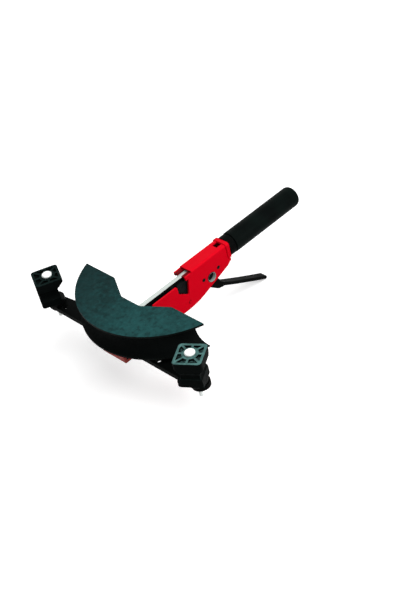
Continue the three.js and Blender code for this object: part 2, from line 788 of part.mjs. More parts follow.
function leverCheek(xLow, xHigh) {
  const heelRise = crossPinRadius + seatGap + pivotDrop - stopPinDrop;
  const heelBack = stopPinBack - pivotBack;
  const top = heelRise + 2 * crossPinRadius;
  const front = placed(cheekFrontShares, pawlArm);
  const rear = placed(cheekRearShares, pawlArm);
  const neck = placed(neckShares, leverThickness, leverRootBack, -leverRootDrop);
  const heel = [[heelBack - crossPinRadius - 2 * seatGap, heelRise], [heelBack + crossPinRadius, heelRise],
    [heelBack + crossPinRadius, top]];
  const outline = aboutPivot([...front, ...neck, ...rear, ...heel]);
  return acrossPrism(roundedShape(outline, plateCorner), xLow, xHigh, 3);
}

function leverWeb() {
  const outline = aboutPivot(placed(webShares, pawlArm));
  return acrossPrism(roundedShape(outline, 0), -cheekInner - seatGap, cheekInner + seatGap);
}

function leverHandle() {
  const [root, bow, tip] = aboutPivot([[leverRootBack, -leverRootDrop], [leverBowBack, -leverBowDrop],
    [leverTipBack, -leverTipDrop]]).map(([y, z]) => new THREE.Vector2(y, z));
  const curve = new THREE.QuadraticBezierCurve(root, bow, tip);
  const half = leverThickness / 2;
  const steps = 8;
  const upper = [];
  const lower = [];
  for (let i = 0; i <= steps; i += 1) {
    const point = curve.getPoint(i / steps);
    const along = curve.getTangent(i / steps);
    const side = new THREE.Vector2(-along.y, along.x).multiplyScalar(half);
    upper.push(point.clone().add(side));
    lower.push(point.clone().sub(side));
  }
  const heading = curve.getTangent(1).angle();
  const shape = new THREE.Shape(lower);
  shape.absarc(tip.x, tip.y, half, heading - quarterTurn, heading + quarterTurn);
  upper.reverse().forEach((point) => shape.lineTo(point.x, point.y));
  shape.closePath();
  return acrossPrism(shape, -leverHalfWidth, leverHalfWidth, 4);
}

function handLever() {
  const outer = fillHalf - seatGap;
  const whole = joined([leverCheek(cheekInner, outer), leverCheek(-outer, -cheekInner),
    leverWeb(), leverHandle()]);
  const bore = crossHole(pivotBack, -pivotDrop, pivotRadius + runGap);
  const pinHole = crossHole(pawlPinBackAtRest, -pawlPinDropAtRest, pawlPinRadius + seatGap);
  return cutBy(whole, [bore, pinHole]);
}

function drivePawlPin() {
  const end = fillHalf - seatGap;
  return turnedAcross(plainPin(pawlPinRadius, -end, end, pinChamfer / 2), 14,
    pawlPinBackAtRest, -pawlPinDropAtRest);
}

// Nose outlines of the pawls, as shares of their boss radius
const noseBackShares = [0.8, 0.36];
const noseFrontShare = 0.33;
const catchTipShares = [[1, -0.7], [0, 0], [0, -1]];
const catchBackShares = [[-1, -0.6], [0, -1], [0.9, 0], [0.3, 0.9]];

function drivePawl() {
  const [y, z] = [pawlPinBackAtRest, -pawlPinDropAtRest];
  const tip = -rackBottomDrop - runGap;
  const boss = pawlBossRadius;
  const arm = roundedShape([
    [y - pawlNoseReach, tip], [y - pawlNoseReach, z - boss * noseFrontShare], [y, z - boss],
    [y, z + boss], ...placed([noseBackShares], boss, y - pawlNoseReach, z),
  ], 0);
  const tail = roundedShape([[y, z - 2 * pawlTailHalf], [y + pawlTailReach, z - 2 * pawlTailHalf],
    [y + pawlTailReach, z], [y, z]], pawlTailHalf / 2);
  const solid = joined([
    acrossPrism(circleShape(y, z, boss), -pawlHalfWidth, pawlHalfWidth, 8),
    acrossPrism(arm, -pawlHalfWidth, pawlHalfWidth), acrossPrism(tail, -pawlHalfWidth, pawlHalfWidth, 2),
  ]);
  return solid.subtract(crossHole(y, z, pawlPinRadius + runGap));
}

// Holding pawl: a nose under the bar, and a fork whose thumb pads fill the side cut-outs

function holdingPawl() {
  const [y, z] = [pawlPinBack, -pawlPinDrop];
  const boss = catchBossRadius;
  const tip = -rackBottomDrop - runGap;
  const nose = roundedShape([...placed(catchTipShares, boss, y - catchNoseReach, tip),
    ...placed(catchBackShares, boss, y, z)], 0);
  const fork = roundedShape([
    [y + boss, z], [y + boss / 2, z + boss], [y - boss, z + catchForkHigh],
    [thumbPadRear + boss, z + catchForkHigh], [thumbPadRear, -thumbPadDrop],
    [thumbPadFront, -thumbPadDrop], [thumbPadFront, -thumbBarDrop - boss / 2],
    [thumbPadRear - boss, z - catchForkLow], [y, z - boss],
  ], plateCorner);
  const bar = roundedShape([[thumbPadFront, -thumbBarDrop], [thumbPadFront, -thumbBarDrop - boss / 2],
    [thumbPadRear - boss, -thumbBarLow], [thumbPadRear, -thumbBarLow], [thumbPadRear, -thumbBarDrop]], 0);
  const outer = fillHalf - seatGap;
  const solid = joined([
    acrossPrism(circleShape(y, z, boss), -outer, outer, 8),
    acrossPrism(nose, -pawlHalfWidth, pawlHalfWidth),
    acrossPrism(fork, cheekInner, outer, 3), acrossPrism(fork, -outer, -cheekInner, 3),
    acrossPrism(bar, -cheekInner - seatGap, cheekInner + seatGap),
  ]);
  return solid.subtract(crossHole(y, z, crossPinRadius + runGap));
}

// Springs: one unbroken tube each, along the third axis of its frame

function springCurl(length, radius, wire, curls) {
  const steps = curls * curlSteps;
  const positions = [];
  const indices = [];
  const centres = [];
  const climb = length / (2 * Math.PI * curls);
  for (let i = 0; i <= steps; i += 1) {
    const turn = 2 * Math.PI * i / curlSteps;
    const out = new THREE.Vector3(Math.cos(turn), Math.sin(turn), 0);
    const along = new THREE.Vector3(-Math.sin(turn) * radius, Math.cos(turn) * radius, climb).normalize();
    const across = new THREE.Vector3().crossVectors(along, out);
    const centre = out.clone().multiplyScalar(radius).setZ(length * i / steps);
    centres.push(centre);
    for (let j = 0; j < wireSides; j += 1) {
      const angle = 2 * Math.PI * j / wireSides;
      const point = centre.clone().addScaledVector(out, Math.cos(angle) * wire / 2)
        .addScaledVector(across, Math.sin(angle) * wire / 2);
      positions.push(...point.toArray());
    }
  }
  for (let i = 0; i < steps; i += 1) {
    for (let j = 0; j < wireSides; j += 1) {
      const next = (j + 1) % wireSides;
      const [a, b] = [i * wireSides + j, i * wireSides + next];
      const [c, d] = [a + wireSides, b + wireSides];
      indices.push(a, b, d, a, d, c);
    }
  }
  for (let j = 1; j < wireSides - 1; j += 1) {
    const last = steps * wireSides;
    indices.push(0, j + 1, j, last, last + j, last + j + 1);
  }
  const geometry = new THREE.BufferGeometry();
  geometry.setAttribute('position', new THREE.Float32BufferAttribute(positions, 3));
  geometry.setIndex(indices);
  return { geometry, gap: leastGap(centres) - wire };
}

function leastGap(centres) {
  let least = Infinity;
  for (let i = 0; i < centres.length; i += 1) {
    for (let j = i + curlSteps / 2; j < centres.length; j += 1) {
      least = Math.min(least, centres[i].distanceTo(centres[j]));
    }
  }
  return least;
}

function springAlong(name, from, to, radius, wire, curls) {
  const span = to.clone().sub(from);
  const { geometry, gap } = springCurl(span.length(), radius, wire, curls);
  const turn = new THREE.Quaternion().setFromUnitVectors(new THREE.Vector3(0, 0, 1), span.normalize());
  geometry.applyQuaternion(turn);
  geometry.translate(from.x, from.y, from.z);
  console.log(`${name}: least gap between curls ${gap.toFixed(2)} mm`);
  return toSolid(geometry);
}

function returnSpring() {
  const from = new THREE.Vector3(0, anchorBack + anchorRadius + seatGap + returnWire / 2, -anchorDrop);
  const [waist, foot] = placed([cheekWaistShares, cheekFootShares], pawlArm);
  const aboveFoot = pivotDrop - anchorDrop - foot[1];
  const lean = aboveFoot * (waist[0] - foot[0]) / (waist[1] - foot[1]);
  const reach = pivotBack + foot[0] - Math.abs(lean) - plateCorner - returnWire;
  const to = new THREE.Vector3(0, reach, -anchorDrop);
  return springAlong('lever_return_spring', from, to, returnSpringRadius, returnWire, returnSpringCurls);
}

function drivePawlSpring() {
  const top = -pawlPinDropAtRest - 2 * pawlTailHalf - seatGap - pawlWire / 2;
  const low = -pivotDrop - webTopShare * pawlArm + seatGap + pawlWire / 2;
  const from = new THREE.Vector3(0, pawlSpringBack, low);
  const to = new THREE.Vector3(0, pawlSpringBack, top);
  return springAlong('drive_pawl_spring', from, to, pawlSpringRadius, pawlWire, pawlSpringCurls);
}

function holdingPawlSpring() {
  const from = new THREE.Vector3(0, anchorBack, -anchorDrop + anchorRadius + seatGap + catchWire / 2);
  const to = new THREE.Vector3(0, anchorBack, -thumbBarLow - seatGap - catchWire / 2);
  return springAlong('holding_pawl_spring', from, to, catchSpringRadius, catchWire, catchSpringCurls);
}

// Guides for the bar

function wearStrip() {
  return boxSolid([-stripHalf, stripFront, -rackDrop + runGap],
    [stripHalf, stripRear, -shellTopDrop - sheet - seatGap]);
}

function frontGuide() {
  const top = -rackBottomDrop - runGap;
  return boxSolid([-fillHalf, -guideFront, top - guideHeight], [fillHalf, guideRear, top]);
}

addPiece('body_shell', shell(), redPaint);
addPiece('nose_bracket', noseBracket(), dullRed);
addPiece('nose_spacer', noseSpacer(), blackSteel);
addPiece('yoke_beam', yokeBeam(), blackPaint);
addPiece('lever_pivot_sleeve', leverPivot(), brightSteel);
addPiece('lever_stop_pin', crossPin(stopPinBack, stopPinDrop, crossPinRadius), blackSteel);
addPiece('holding_pawl_pin', crossPin(pawlPinBack, pawlPinDrop, crossPinRadius), blackSteel);
addPiece('spring_anchor_pin', crossPin(anchorBack, anchorDrop, anchorRadius), blackSteel);
addPiece('handle_tube', handleTube(), blackPaint);
addPiece('grip_sleeve', grip(), rubber);
addPiece('rear_bush', rearBush(), blackSteel);
addPiece('rack_wear_strip', wearStrip(), blackSteel);
addPiece('rack_front_guide', frontGuide(), blackSteel);
addPiece('lever_return_spring', returnSpring(), brightSteel);
addPiece('holding_pawl_spring', holdingPawlSpring(), brightSteel);
for (const [side, hand] of [['left', -1], ['right', 1]]) {
  addPiece(`beam_screw_${side}`, beamScrew(hand), blackSteel);
  addPiece(`beam_nut_${side}`, beamNut(hand), blackSteel);
  addPiece(`slide_pin_${side}`, slidePin(hand), brightSteel);
  addPiece(`slide_collar_${side}`, slideCollar(hand), blackSteel);
  addPiece(`retaining_ring_${side}`, retainingRing(hand), blackSteel);
  addPiece(`slide_block_${side}`, slideBlock(hand), greyCoat);
}
addPiece('rack_bar', rack(), brightSteel);
addPiece('rack_head', rackHead(), blackSteel);
addPiece('former_peg', formerPeg(), brightSteel);
addPiece('former', former(), greyCoat);
addPiece('hand_lever', handLever(), blackPaint);
addPiece('drive_pawl_pin', drivePawlPin(), brightSteel);
addPiece('drive_pawl_spring', drivePawlSpring(), brightSteel);
addPiece('drive_pawl', drivePawl(), blackSteel);
addPiece('holding_pawl', holdingPawl(), blackSteel);

// The part's origin is at the bottom centre of its box
const box = new THREE.Box3().setFromObject(assembly);
const centre = box.getCenter(new THREE.Vector3());
assembly.position.set(-centre.x, -centre.y, -box.min.z);

export default assembly;
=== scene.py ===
# Tube bender: fine edges, finishes and small detail on the solids, with a floor, light and camera.
import json
import math

import bmesh
import bpy
from mathutils import Matrix, Vector


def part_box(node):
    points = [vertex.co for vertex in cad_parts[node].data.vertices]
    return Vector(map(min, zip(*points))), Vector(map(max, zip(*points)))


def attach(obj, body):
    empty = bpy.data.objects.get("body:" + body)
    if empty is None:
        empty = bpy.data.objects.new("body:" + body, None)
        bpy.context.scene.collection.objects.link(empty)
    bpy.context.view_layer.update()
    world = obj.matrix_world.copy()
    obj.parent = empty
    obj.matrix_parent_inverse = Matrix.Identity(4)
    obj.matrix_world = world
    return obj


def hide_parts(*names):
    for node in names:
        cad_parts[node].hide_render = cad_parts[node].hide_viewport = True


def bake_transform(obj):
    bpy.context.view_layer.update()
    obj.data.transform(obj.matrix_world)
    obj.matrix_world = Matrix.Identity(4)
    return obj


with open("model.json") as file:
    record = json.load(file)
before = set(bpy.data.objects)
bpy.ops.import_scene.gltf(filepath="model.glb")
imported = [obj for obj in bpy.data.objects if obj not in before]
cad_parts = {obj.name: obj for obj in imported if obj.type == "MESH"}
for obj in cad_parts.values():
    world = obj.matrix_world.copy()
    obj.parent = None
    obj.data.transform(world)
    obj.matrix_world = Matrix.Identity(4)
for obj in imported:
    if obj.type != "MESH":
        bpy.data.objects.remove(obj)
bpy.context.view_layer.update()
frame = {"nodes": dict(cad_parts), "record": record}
nodes = frame["nodes"]

MM = 0.001

# Arc centre of the former on its top face, from which places are measured
SLIDE_PIN_SETBACK = 0.081
pins = [sum(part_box(name), Vector()) / 2 for name in ("slide_pin_left", "slide_pin_right")]
ARC_CENTRE = (pins[0] + pins[1]) / 2 + Vector((0, SLIDE_PIN_SETBACK, 0))
ARC_CENTRE.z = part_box("former")[1].z

# Camera: place and target from the arc centre in metres, roll in degrees, lens in millimetres
CAMERA_PLACE = ARC_CENTRE + Vector((0.966048, -0.634689, 0.849809))
CAMERA_TARGET = ARC_CENTRE + Vector((0.042405, 0.009073, -0.020))
CAMERA_ROLL = -14.886
CAMERA_LENS = 75.561
CAMERA_SENSOR = 36.0

# Colours as they look, in sRGB
RED = (0.84, 0.006, 0.105)
RED_DEEPER = (0.77, 0.012, 0.085)
RED_RUBBED = (0.66, 0.10, 0.13)
# Painted shade for the inner faces of the shell
RED_INSIDE_PAINTED_SHADE = (0.25, 0.012, 0.03)
DULL_RED = (0.84, 0.34, 0.30)
DULL_RED_DEEPER = (0.60, 0.24, 0.22)
DULL_RED_RUBBED = (0.42, 0.45, 0.42)
CAST_DARK = (0.034, 0.046, 0.044)
CAST_RUBBED = (0.20, 0.31, 0.30)
# Painted sheen: the lighter green-grey that cast top faces take where light falls on them; the left
# block's, darker, is a shaded copy
FORMER_TOP_SHEEN = (0.095, 0.225, 0.225)
BLOCK_TOP_SHEEN = (0.25, 0.37, 0.36)
BLOCK_TOP_SHADED_SHEEN = (0.05, 0.095, 0.09)
BLACK_PAINT = (0.026, 0.031, 0.029)
BLACK_PAINT_LIGHTER = (0.055, 0.066, 0.063)
BLACK_PAINT_RUBBED = (0.17, 0.20, 0.19)
BLACK_STEEL = (0.042, 0.047, 0.046)
BLACK_STEEL_LIGHTER = (0.10, 0.11, 0.11)
BLACK_STEEL_RUBBED = (0.24, 0.26, 0.255)
BRIGHT_STEEL = (0.72, 0.76, 0.74)
BRIGHT_STEEL_STREAK = (0.62, 0.65, 0.64)
# Painted light on the bar's top face
BAR_TOP_PAINTED_LIGHT = (0.76, 0.79, 0.77)
BAR_TOP_STREAK = (0.55, 0.58, 0.57)
PIN_WHITE = (0.94, 0.96, 0.95)
PIN_SHADE = (0.78, 0.81, 0.80)
PIN_END_SHADE = (0.74, 0.02, 0.09)
SLEEVE_STEEL = (0.80, 0.84, 0.82)
# Painted shade deep in the sleeve's bore
SLEEVE_BORE_PAINTED_SHADE = (0.03, 0.035, 0.035)
SLEEVE_END = (0.22, 0.015, 0.035)
GRIP_BLACK = (0.022, 0.036, 0.033)
GRIP_LIGHTER = (0.06, 0.10, 0.09)
WHITE = (1.0, 1.0, 1.0)

# Places of a change of colour, among them the edges of painted shade and painted sheen, in
# millimetres
INSIDE_SHADE_HALF_WIDTH, INSIDE_SHADE_BLEND = 8.2, 0.2
INSIDE_SHADE_DROP, INSIDE_SHADE_FADE = 12.3, 0.4
TOP_FACE_DROP, POCKET_FLOOR_DROP, FACE_BLEND = 1.2, 3.0, 0.4
FORMER_SHADE_START, FORMER_SHADE_END = 30, -100
BORE_SHADE_START, BORE_SHADE_FULL = 3.8, 5.2
SLEEVE_BORE, SLEEVE_BORE_BLEND = 5.9, 0.1


def linear(colour):
    values = [c / 12.92 if c <= 0.04045 else ((c + 0.055) / 1.055) ** 2.4 for c in colour]
    return (*values, 1.0)


def scaled(colour, factor):
    return tuple(factor * c for c in colour)


# Finishes


class Surface:
    """A node material on a Principled shader, with helpers for grain, wear and fine relief."""

    FACING_UP = (0.7, 0.95)
    FACING_SIDE = (0.5, 0.8)
    ROUGH_GRAIN = (0.3, 0.7)

    def __init__(self, name, colour, roughness, metallic=0.0, specular=0.5):
        self.material = bpy.data.materials.new(name)
        self.material.use_nodes = True
        self.tree = self.material.node_tree
        self.shader = self.tree.nodes["Principled BSDF"]
        self.shader.inputs["Base Color"].default_value = linear(colour)
        self.shader.inputs["Roughness"].default_value = roughness
        self.shader.inputs["Metallic"].default_value = metallic
        self.shader.inputs["Specular IOR Level"].default_value = specular
        self.place = self.node("ShaderNodeTexCoord").outputs["Object"]

    def node(self, kind, **values):
        made = self.tree.nodes.new(kind)
        for key, value in values.items():
            setattr(made, key, value)
        return made

    def link(self, source, target):
        self.tree.links.new(source, target)

    def noise(self, scale, detail=3.0, stretch=None):
        made = self.node("ShaderNodeTexNoise")
        made.inputs["Scale"].default_value = scale
        made.inputs["Detail"].default_value = detail
        if stretch is None:
            self.link(self.place, made.inputs["Vector"])
        else:
            mapping = self.node("ShaderNodeMapping")
            mapping.inputs["Scale"].default_value = stretch
            self.link(self.place, mapping.inputs["Vector"])
            self.link(mapping.outputs["Vector"], made.inputs["Vector"])
        return made.outputs["Fac"]

    def streaks(self):
        """Fine lines along Y, as grinding leaves them on a bar."""
        return self.noise(scale=60.0, detail=4.0, stretch=(40.0, 1.0, 40.0))

    def spread(self, source, low, high, to_low=0.0, to_high=1.0):
        made = self.node("ShaderNodeMapRange")
        made.inputs["From Min"].default_value = low
        made.inputs["From Max"].default_value = high
        made.inputs["To Min"].default_value = to_low
        made.inputs["To Max"].default_value = to_high
        self.link(source, made.inputs["Value"])
        return made.outputs["Result"]

    def clouds(self, scale, low, high, detail=3.0):
        return self.spread(self.noise(scale, detail), low, high)

    def times(self, one, other):
        product = self.node("ShaderNodeMath", operation="MULTIPLY")
        self.link(one, product.inputs[0])
        self.link(other, product.inputs[1])
        return product.outputs["Value"]

    def tint(self, source, colour, strength=1.0):
        """Mixes another colour in where source is high."""
        mix = self.node("ShaderNodeMix", data_type="RGBA")
        base = self.shader.inputs["Base Color"]
        if base.links:
            self.link(base.links[0].from_socket, mix.inputs[6])
        else:
            mix.inputs[6].default_value = base.default_value
        mix.inputs[7].default_value = linear(colour)
        if strength != 1.0:
            weaker = self.node("ShaderNodeMath", operation="MULTIPLY")
            weaker.inputs[1].default_value = strength
            self.link(source, weaker.inputs[0])
            source = weaker.outputs["Value"]
        self.link(source, mix.inputs[0])
        self.link(mix.outputs[2], base)

    def rough(self, source, low, high):
        self.link(self.spread(source, *self.ROUGH_GRAIN, low, high), self.shader.inputs["Roughness"])

    def relief(self, source, depth):
        """Fine bumps, their depth in millimetres."""
        bump = self.node("ShaderNodeBump")
        bump.inputs["Strength"].default_value = 1.0
        bump.inputs["Distance"].default_value = depth * MM
        self.link(source, bump.inputs["Height"])
        self.link(bump.outputs["Normal"], self.shader.inputs["Normal"])

    def part(self, source, axis):
        parts = self.node("ShaderNodeSeparateXYZ")
        self.link(source, parts.inputs["Vector"])
        return parts.outputs[axis]

    def facing_up(self):
        normal = self.node("ShaderNodeNewGeometry").outputs["True Normal"]
        return self.spread(self.part(normal, "Z"), *self.FACING_UP)

    def facing_sideways(self):
        normal = self.node("ShaderNodeNewGeometry").outputs["True Normal"]
        size = self.node("ShaderNodeMath", operation="ABSOLUTE")
        self.link(self.part(normal, "X"), size.inputs[0])
        return self.spread(size.outputs["Value"], *self.FACING_SIDE)

    def along_x(self, low, high):
        return self.spread(self.part(self.place, "X"), low, high)

    def above(self, height, blend):
        return self.spread(self.part(self.place, "Z"), height, height + blend)

    def off_axis(self, centre, radius, blend):
        """High outside a radius about an axis along X."""
        shift = self.node("ShaderNodeVectorMath", operation="SUBTRACT")
        shift.inputs[1].default_value = centre
        self.link(self.place, shift.inputs[0])
        flat = self.node("ShaderNodeVectorMath", operation="MULTIPLY")
        flat.inputs[1].default_value = (0, 1, 1)
        self.link(shift.outputs["Vector"], flat.inputs[0])
        size = self.node("ShaderNodeVectorMath", operation="LENGTH")
        self.link(flat.outputs["Vector"], size.inputs[0])
        return self.spread(size.outputs["Value"], radius, radius + blend)

    def worn(self, colour, strength):
        """Rubbed spots of another colour, for the rounded edges."""
        self.tint(self.clouds(scale=260.0, low=0.42, high=0.62), colour, strength)


def red_paint(edge, name="red_paint", lined=False):
    """Red paint; inside the shell its inner faces carry painted shade, a darker red."""
    s = Surface(name + edge, RED, roughness=0.42, specular=0.025)
    s.tint(s.clouds(scale=18.0, low=0.35, high=0.75), RED_DEEPER, strength=0.5)
    if lined:
        low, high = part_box("body_shell")
        middle = (low.x + high.x) / 2
        outer = INSIDE_SHADE_HALF_WIDTH * MM
        inner = outer - INSIDE_SHADE_BLEND * MM
        across = s.times(s.along_x(middle - outer, middle - inner),
                         s.along_x(middle + outer, middle + inner))
        below = s.above(ARC_CENTRE.z - INSIDE_SHADE_DROP * MM, -INSIDE_SHADE_FADE * MM)
        # Painted shade: the shell's inner faces below its top are darkened where shade falls inside
        # the body
        s.tint(s.times(across, below), RED_INSIDE_PAINTED_SHADE, strength=0.85)
    if edge:
        s.worn(RED_RUBBED, strength=0.5)
    s.rough(s.noise(scale=60.0), low=0.38, high=0.52)
    s.relief(s.noise(scale=900.0, detail=2.0), depth=0.02)
    return s.material


def dull_red_paint(edge):
    s = Surface("dull_red_paint" + edge, DULL_RED, roughness=0.55, specular=0.2)
    s.tint(s.clouds(scale=45.0, low=0.4, high=0.7, detail=5.0), DULL_RED_DEEPER, strength=0.7)
    if edge:
        s.worn(DULL_RED_RUBBED, strength=0.8)
    s.rough(s.noise(scale=120.0), low=0.42, high=0.62)
    s.relief(s.noise(scale=700.0), depth=0.03)
    return s.material


def black_paint(edge):
    s = Surface("black_paint" + edge, BLACK_PAINT, roughness=0.46, specular=0.01)
    s.tint(s.clouds(scale=30.0, low=0.4, high=0.75), BLACK_PAINT_LIGHTER, strength=0.6)
    if edge:
        s.worn(BLACK_PAINT_RUBBED, strength=0.5)
    s.rough(s.noise(scale=80.0), low=0.38, high=0.55)
    s.relief(s.noise(scale=1200.0, detail=2.0), depth=0.02)
    return s.material


def grey_cast(edge, name="grey_cast", top=FORMER_TOP_SHEEN, floor_tint=0.0, shade=0.0, specular=0.025):
    """Coated casting, near black, with painted sheen: mottled green-grey on its top faces."""
    s = Surface(name + edge, CAST_DARK, roughness=0.5, specular=specular)
    # Painted sheen, weaker, on the up-facing pocket floors, which stay darker than the tops as
    # painted shade
    if floor_tint:
        sunk = s.times(s.facing_up(), s.above(ARC_CENTRE.z - POCKET_FLOOR_DROP * MM, FACE_BLEND * MM))
        s.tint(s.times(sunk, s.clouds(scale=320.0, low=0.4, high=0.65)), top, floor_tint)
    # Painted sheen: up-facing top faces take the lighter green-grey, mottled by the clouds below
    face = s.times(s.facing_up(), s.above(ARC_CENTRE.z - TOP_FACE_DROP * MM, FACE_BLEND * MM))
    s.tint(face, top)
    light_clouds = s.times(face, s.clouds(scale=9.0, low=0.4, high=0.7, detail=6.0))
    s.tint(light_clouds, scaled(top, 1.4), strength=0.6)
    dark_clouds = s.times(face, s.clouds(scale=55.0, low=0.5, high=0.75, detail=5.0))
    s.tint(dark_clouds, scaled(top, 0.5), strength=0.5)
    mottle = s.noise(scale=210.0, detail=5.0)
    s.tint(s.times(face, s.spread(mottle, low=0.52, high=0.68)), scaled(top, 1.5), strength=0.45)
    s.tint(s.times(face, s.spread(mottle, low=0.46, high=0.34)), scaled(top, 0.6), strength=0.5)
    # Painted shade: the former's top face darkens towards its left arm
    if shade:
        left = s.along_x(FORMER_SHADE_START * MM, FORMER_SHADE_END * MM)
        s.tint(s.times(face, left), scaled(top, 0.45), shade)
    if edge:
        s.worn(CAST_RUBBED, strength=0.5)
    s.rough(s.noise(scale=200.0), low=0.45, high=0.65)
    s.relief(s.noise(scale=450.0, detail=4.0), depth=0.05)
    return s.material


def bright_steel(edge):
    s = Surface("bright_steel" + edge, BRIGHT_STEEL, roughness=0.28, metallic=1.0)
    streaks = s.streaks()
    s.tint(s.spread(streaks, low=0.4, high=0.7), BRIGHT_STEEL_STREAK, strength=0.5)
    s.rough(streaks, low=0.22, high=0.38)
    s.relief(streaks, depth=0.015)
    return s.material


def pin_steel(edge):
    s = Surface("pin_steel" + edge, PIN_WHITE, roughness=0.4, metallic=0.35, specular=0.3)
    s.tint(s.clouds(scale=160.0, low=0.5, high=0.75), PIN_SHADE, strength=0.5)
    s.rough(s.noise(scale=300.0), low=0.34, high=0.5)
    s.relief(s.noise(scale=500.0, detail=2.0), depth=0.02)
    return s.material


def sleeve_steel(edge):
    """Turned steel: bright in its mouths, darker further in the bore as painted shade, its ends
    painted over.
    """
    s = Surface("sleeve_steel" + edge, SLEEVE_STEEL, roughness=0.35, metallic=0.6, specular=0.3)
    low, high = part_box("lever_pivot_sleeve")
    # Painted shade: the bore darkens further in from each mouth
    deep = s.times(s.along_x(high.x - BORE_SHADE_START * MM, high.x - BORE_SHADE_FULL * MM),
                   s.along_x(low.x + BORE_SHADE_START * MM, low.x + BORE_SHADE_FULL * MM))
    s.tint(deep, SLEEVE_BORE_PAINTED_SHADE)
    s.tint(s.off_axis((low + high) / 2, SLEEVE_BORE * MM, SLEEVE_BORE_BLEND * MM), SLEEVE_END)
    s.rough(s.noise(scale=300.0), low=0.3, high=0.45)
    s.relief(s.noise(scale=500.0, detail=2.0), depth=0.02)
    return s.material


def painted_pin(edge):
    """Black steel whose end faces took the red paint of the side plates."""
    s = Surface("painted_pin" + edge, BLACK_STEEL, roughness=0.45, specular=0.02)
    s.tint(s.facing_sideways(), RED)
    spots = s.times(s.facing_sideways(), s.clouds(scale=400.0, low=0.4, high=0.7))
    s.tint(spots, PIN_END_SHADE, strength=0.6)
    s.rough(s.noise(scale=90.0), low=0.38, high=0.52)
    s.relief(s.noise(scale=900.0, detail=2.0), depth=0.02)
    return s.material


def bar_steel(edge):
    """Black bar stock whose up-facing top is painted bright as painted light; its sides stay dark."""
    s = Surface("bar_steel" + edge, BLACK_STEEL, roughness=0.42, metallic=0.4, specular=0.1)
    streaks = s.streaks()
    # Painted light: up-facing faces take the bright grey, with grinding streaks in it
    s.tint(s.facing_up(), BAR_TOP_PAINTED_LIGHT)
    lines = s.times(s.spread(streaks, low=0.45, high=0.7), s.facing_up())
    s.tint(lines, BAR_TOP_STREAK, strength=0.5)
    s.rough(streaks, low=0.34, high=0.5)
    s.relief(streaks, depth=0.015)
    return s.material


def black_steel(edge):
    s = Surface("black_steel" + edge, BLACK_STEEL, roughness=0.4, specular=0.03)
    s.tint(s.clouds(scale=90.0, low=0.45, high=0.75, detail=4.0), BLACK_STEEL_LIGHTER, strength=0.6)
    if edge:
        s.worn(BLACK_STEEL_RUBBED, strength=0.4)
    s.rough(s.noise(scale=150.0), low=0.34, high=0.52)
    s.relief(s.noise(scale=900.0, detail=2.0), depth=0.02)
    return s.material


def grip_rubber(edge):
    s = Surface("grip_rubber" + edge, GRIP_BLACK, roughness=0.48, specular=0.014)
    s.tint(s.clouds(scale=25.0, low=0.4, high=0.7), GRIP_LIGHTER, strength=0.6)
    s.rough(s.noise(scale=90.0), low=0.36, high=0.52)
    s.relief(s.noise(scale=1500.0, detail=2.0), depth=0.03)
    return s.material


def both(make, **choices):
    """The plain finish and the one for rounded edges."""
    return make("", **choices), make("_edge", **choices)


slot_pairs = {
    "red_paint": both(red_paint),
    "dull_red": both(dull_red_paint),
    "black_paint": both(black_paint),
    "grey_cast": both(grey_cast),
    "bright_steel": both(bright_steel),
    "black_steel": both(black_steel),
    "grip_rubber": both(grip_rubber),
}
pin_pair = both(pin_steel)
own_pairs = {
    # The former's finish carries painted shade on its left arm
    "former": both(grey_cast, name="former_cast", shade=0.75),
    # The shell's finish darkens its inner faces as painted shade
    "body_shell": both(red_paint, name="shell_paint_shaded_inside", lined=True),
    "rack_bar": both(bar_steel),
    "lever_pivot_sleeve": both(sleeve_steel),
    "spring_anchor_pin": both(painted_pin),
    # The two blocks share one finish; the left block's painted sheen is darker, a shaded copy of the
    # right's
    "slide_block_left": both(grey_cast, name="block_cast_left_shaded", top=BLOCK_TOP_SHADED_SHEEN,
                             floor_tint=0.5, specular=0.01),
    "slide_block_right": both(grey_cast, name="block_cast_right_lit", top=BLOCK_TOP_SHEEN,
                              floor_tint=0.8, specular=0.01),
    "slide_pin_left": pin_pair,
    "slide_pin_right": pin_pair,
}


# Carried-over solids: clean faces, fine rounded edges and smooth curves, widths in millimetres

EDGE_WIDTHS = {
    "former": 0.7, "slide_block_left": 0.6, "slide_block_right": 0.6, "body_shell": 0.35,
    "yoke_beam": 0.5, "nose_bracket": 0.5, "hand_lever": 0.8, "grip_sleeve": 0.3,
    "holding_pawl": 0.35, "rack_bar": 0.18, "drive_pawl": 0.3, "rack_head": 0.4,
}
OTHER_EDGE_WIDTH = 0.25
SPRINGS = {"lever_return_spring", "holding_pawl_spring", "drive_pawl_spring"}
EDGE_ANGLE = math.radians(34)
EDGE_SEGMENTS = 2
EDGE_FINISH = 1
FLAT_ANGLE = math.radians(0.6)
WELD_GAP = 0.002
FACE_WEIGHT = 80


def round_edges(obj, width):
    bevel = obj.modifiers.new("edge", "BEVEL")
    bevel.width = width * MM
    bevel.segments = EDGE_SEGMENTS
    bevel.limit_method = "ANGLE"
    bevel.angle_limit = EDGE_ANGLE
    bevel.use_clamp_overlap = True
    bevel.harden_normals = True
    return bevel


def fine_edges(obj, width):
    weld = obj.modifiers.new("weld", "WELD")
    weld.merge_threshold = WELD_GAP * MM
    clean = obj.modifiers.new("clean", "DECIMATE")
    clean.decimate_type = "DISSOLVE"
    clean.angle_limit = FLAT_ANGLE
    round_edges(obj, width).material = EDGE_FINISH
    shade = obj.modifiers.new("shade", "WEIGHTED_NORMAL")
    shade.keep_sharp = True
    shade.weight = FACE_WEIGHT


def smooth(mesh):
    mesh.polygons.foreach_set("use_smooth", [True] * len(mesh.polygons))


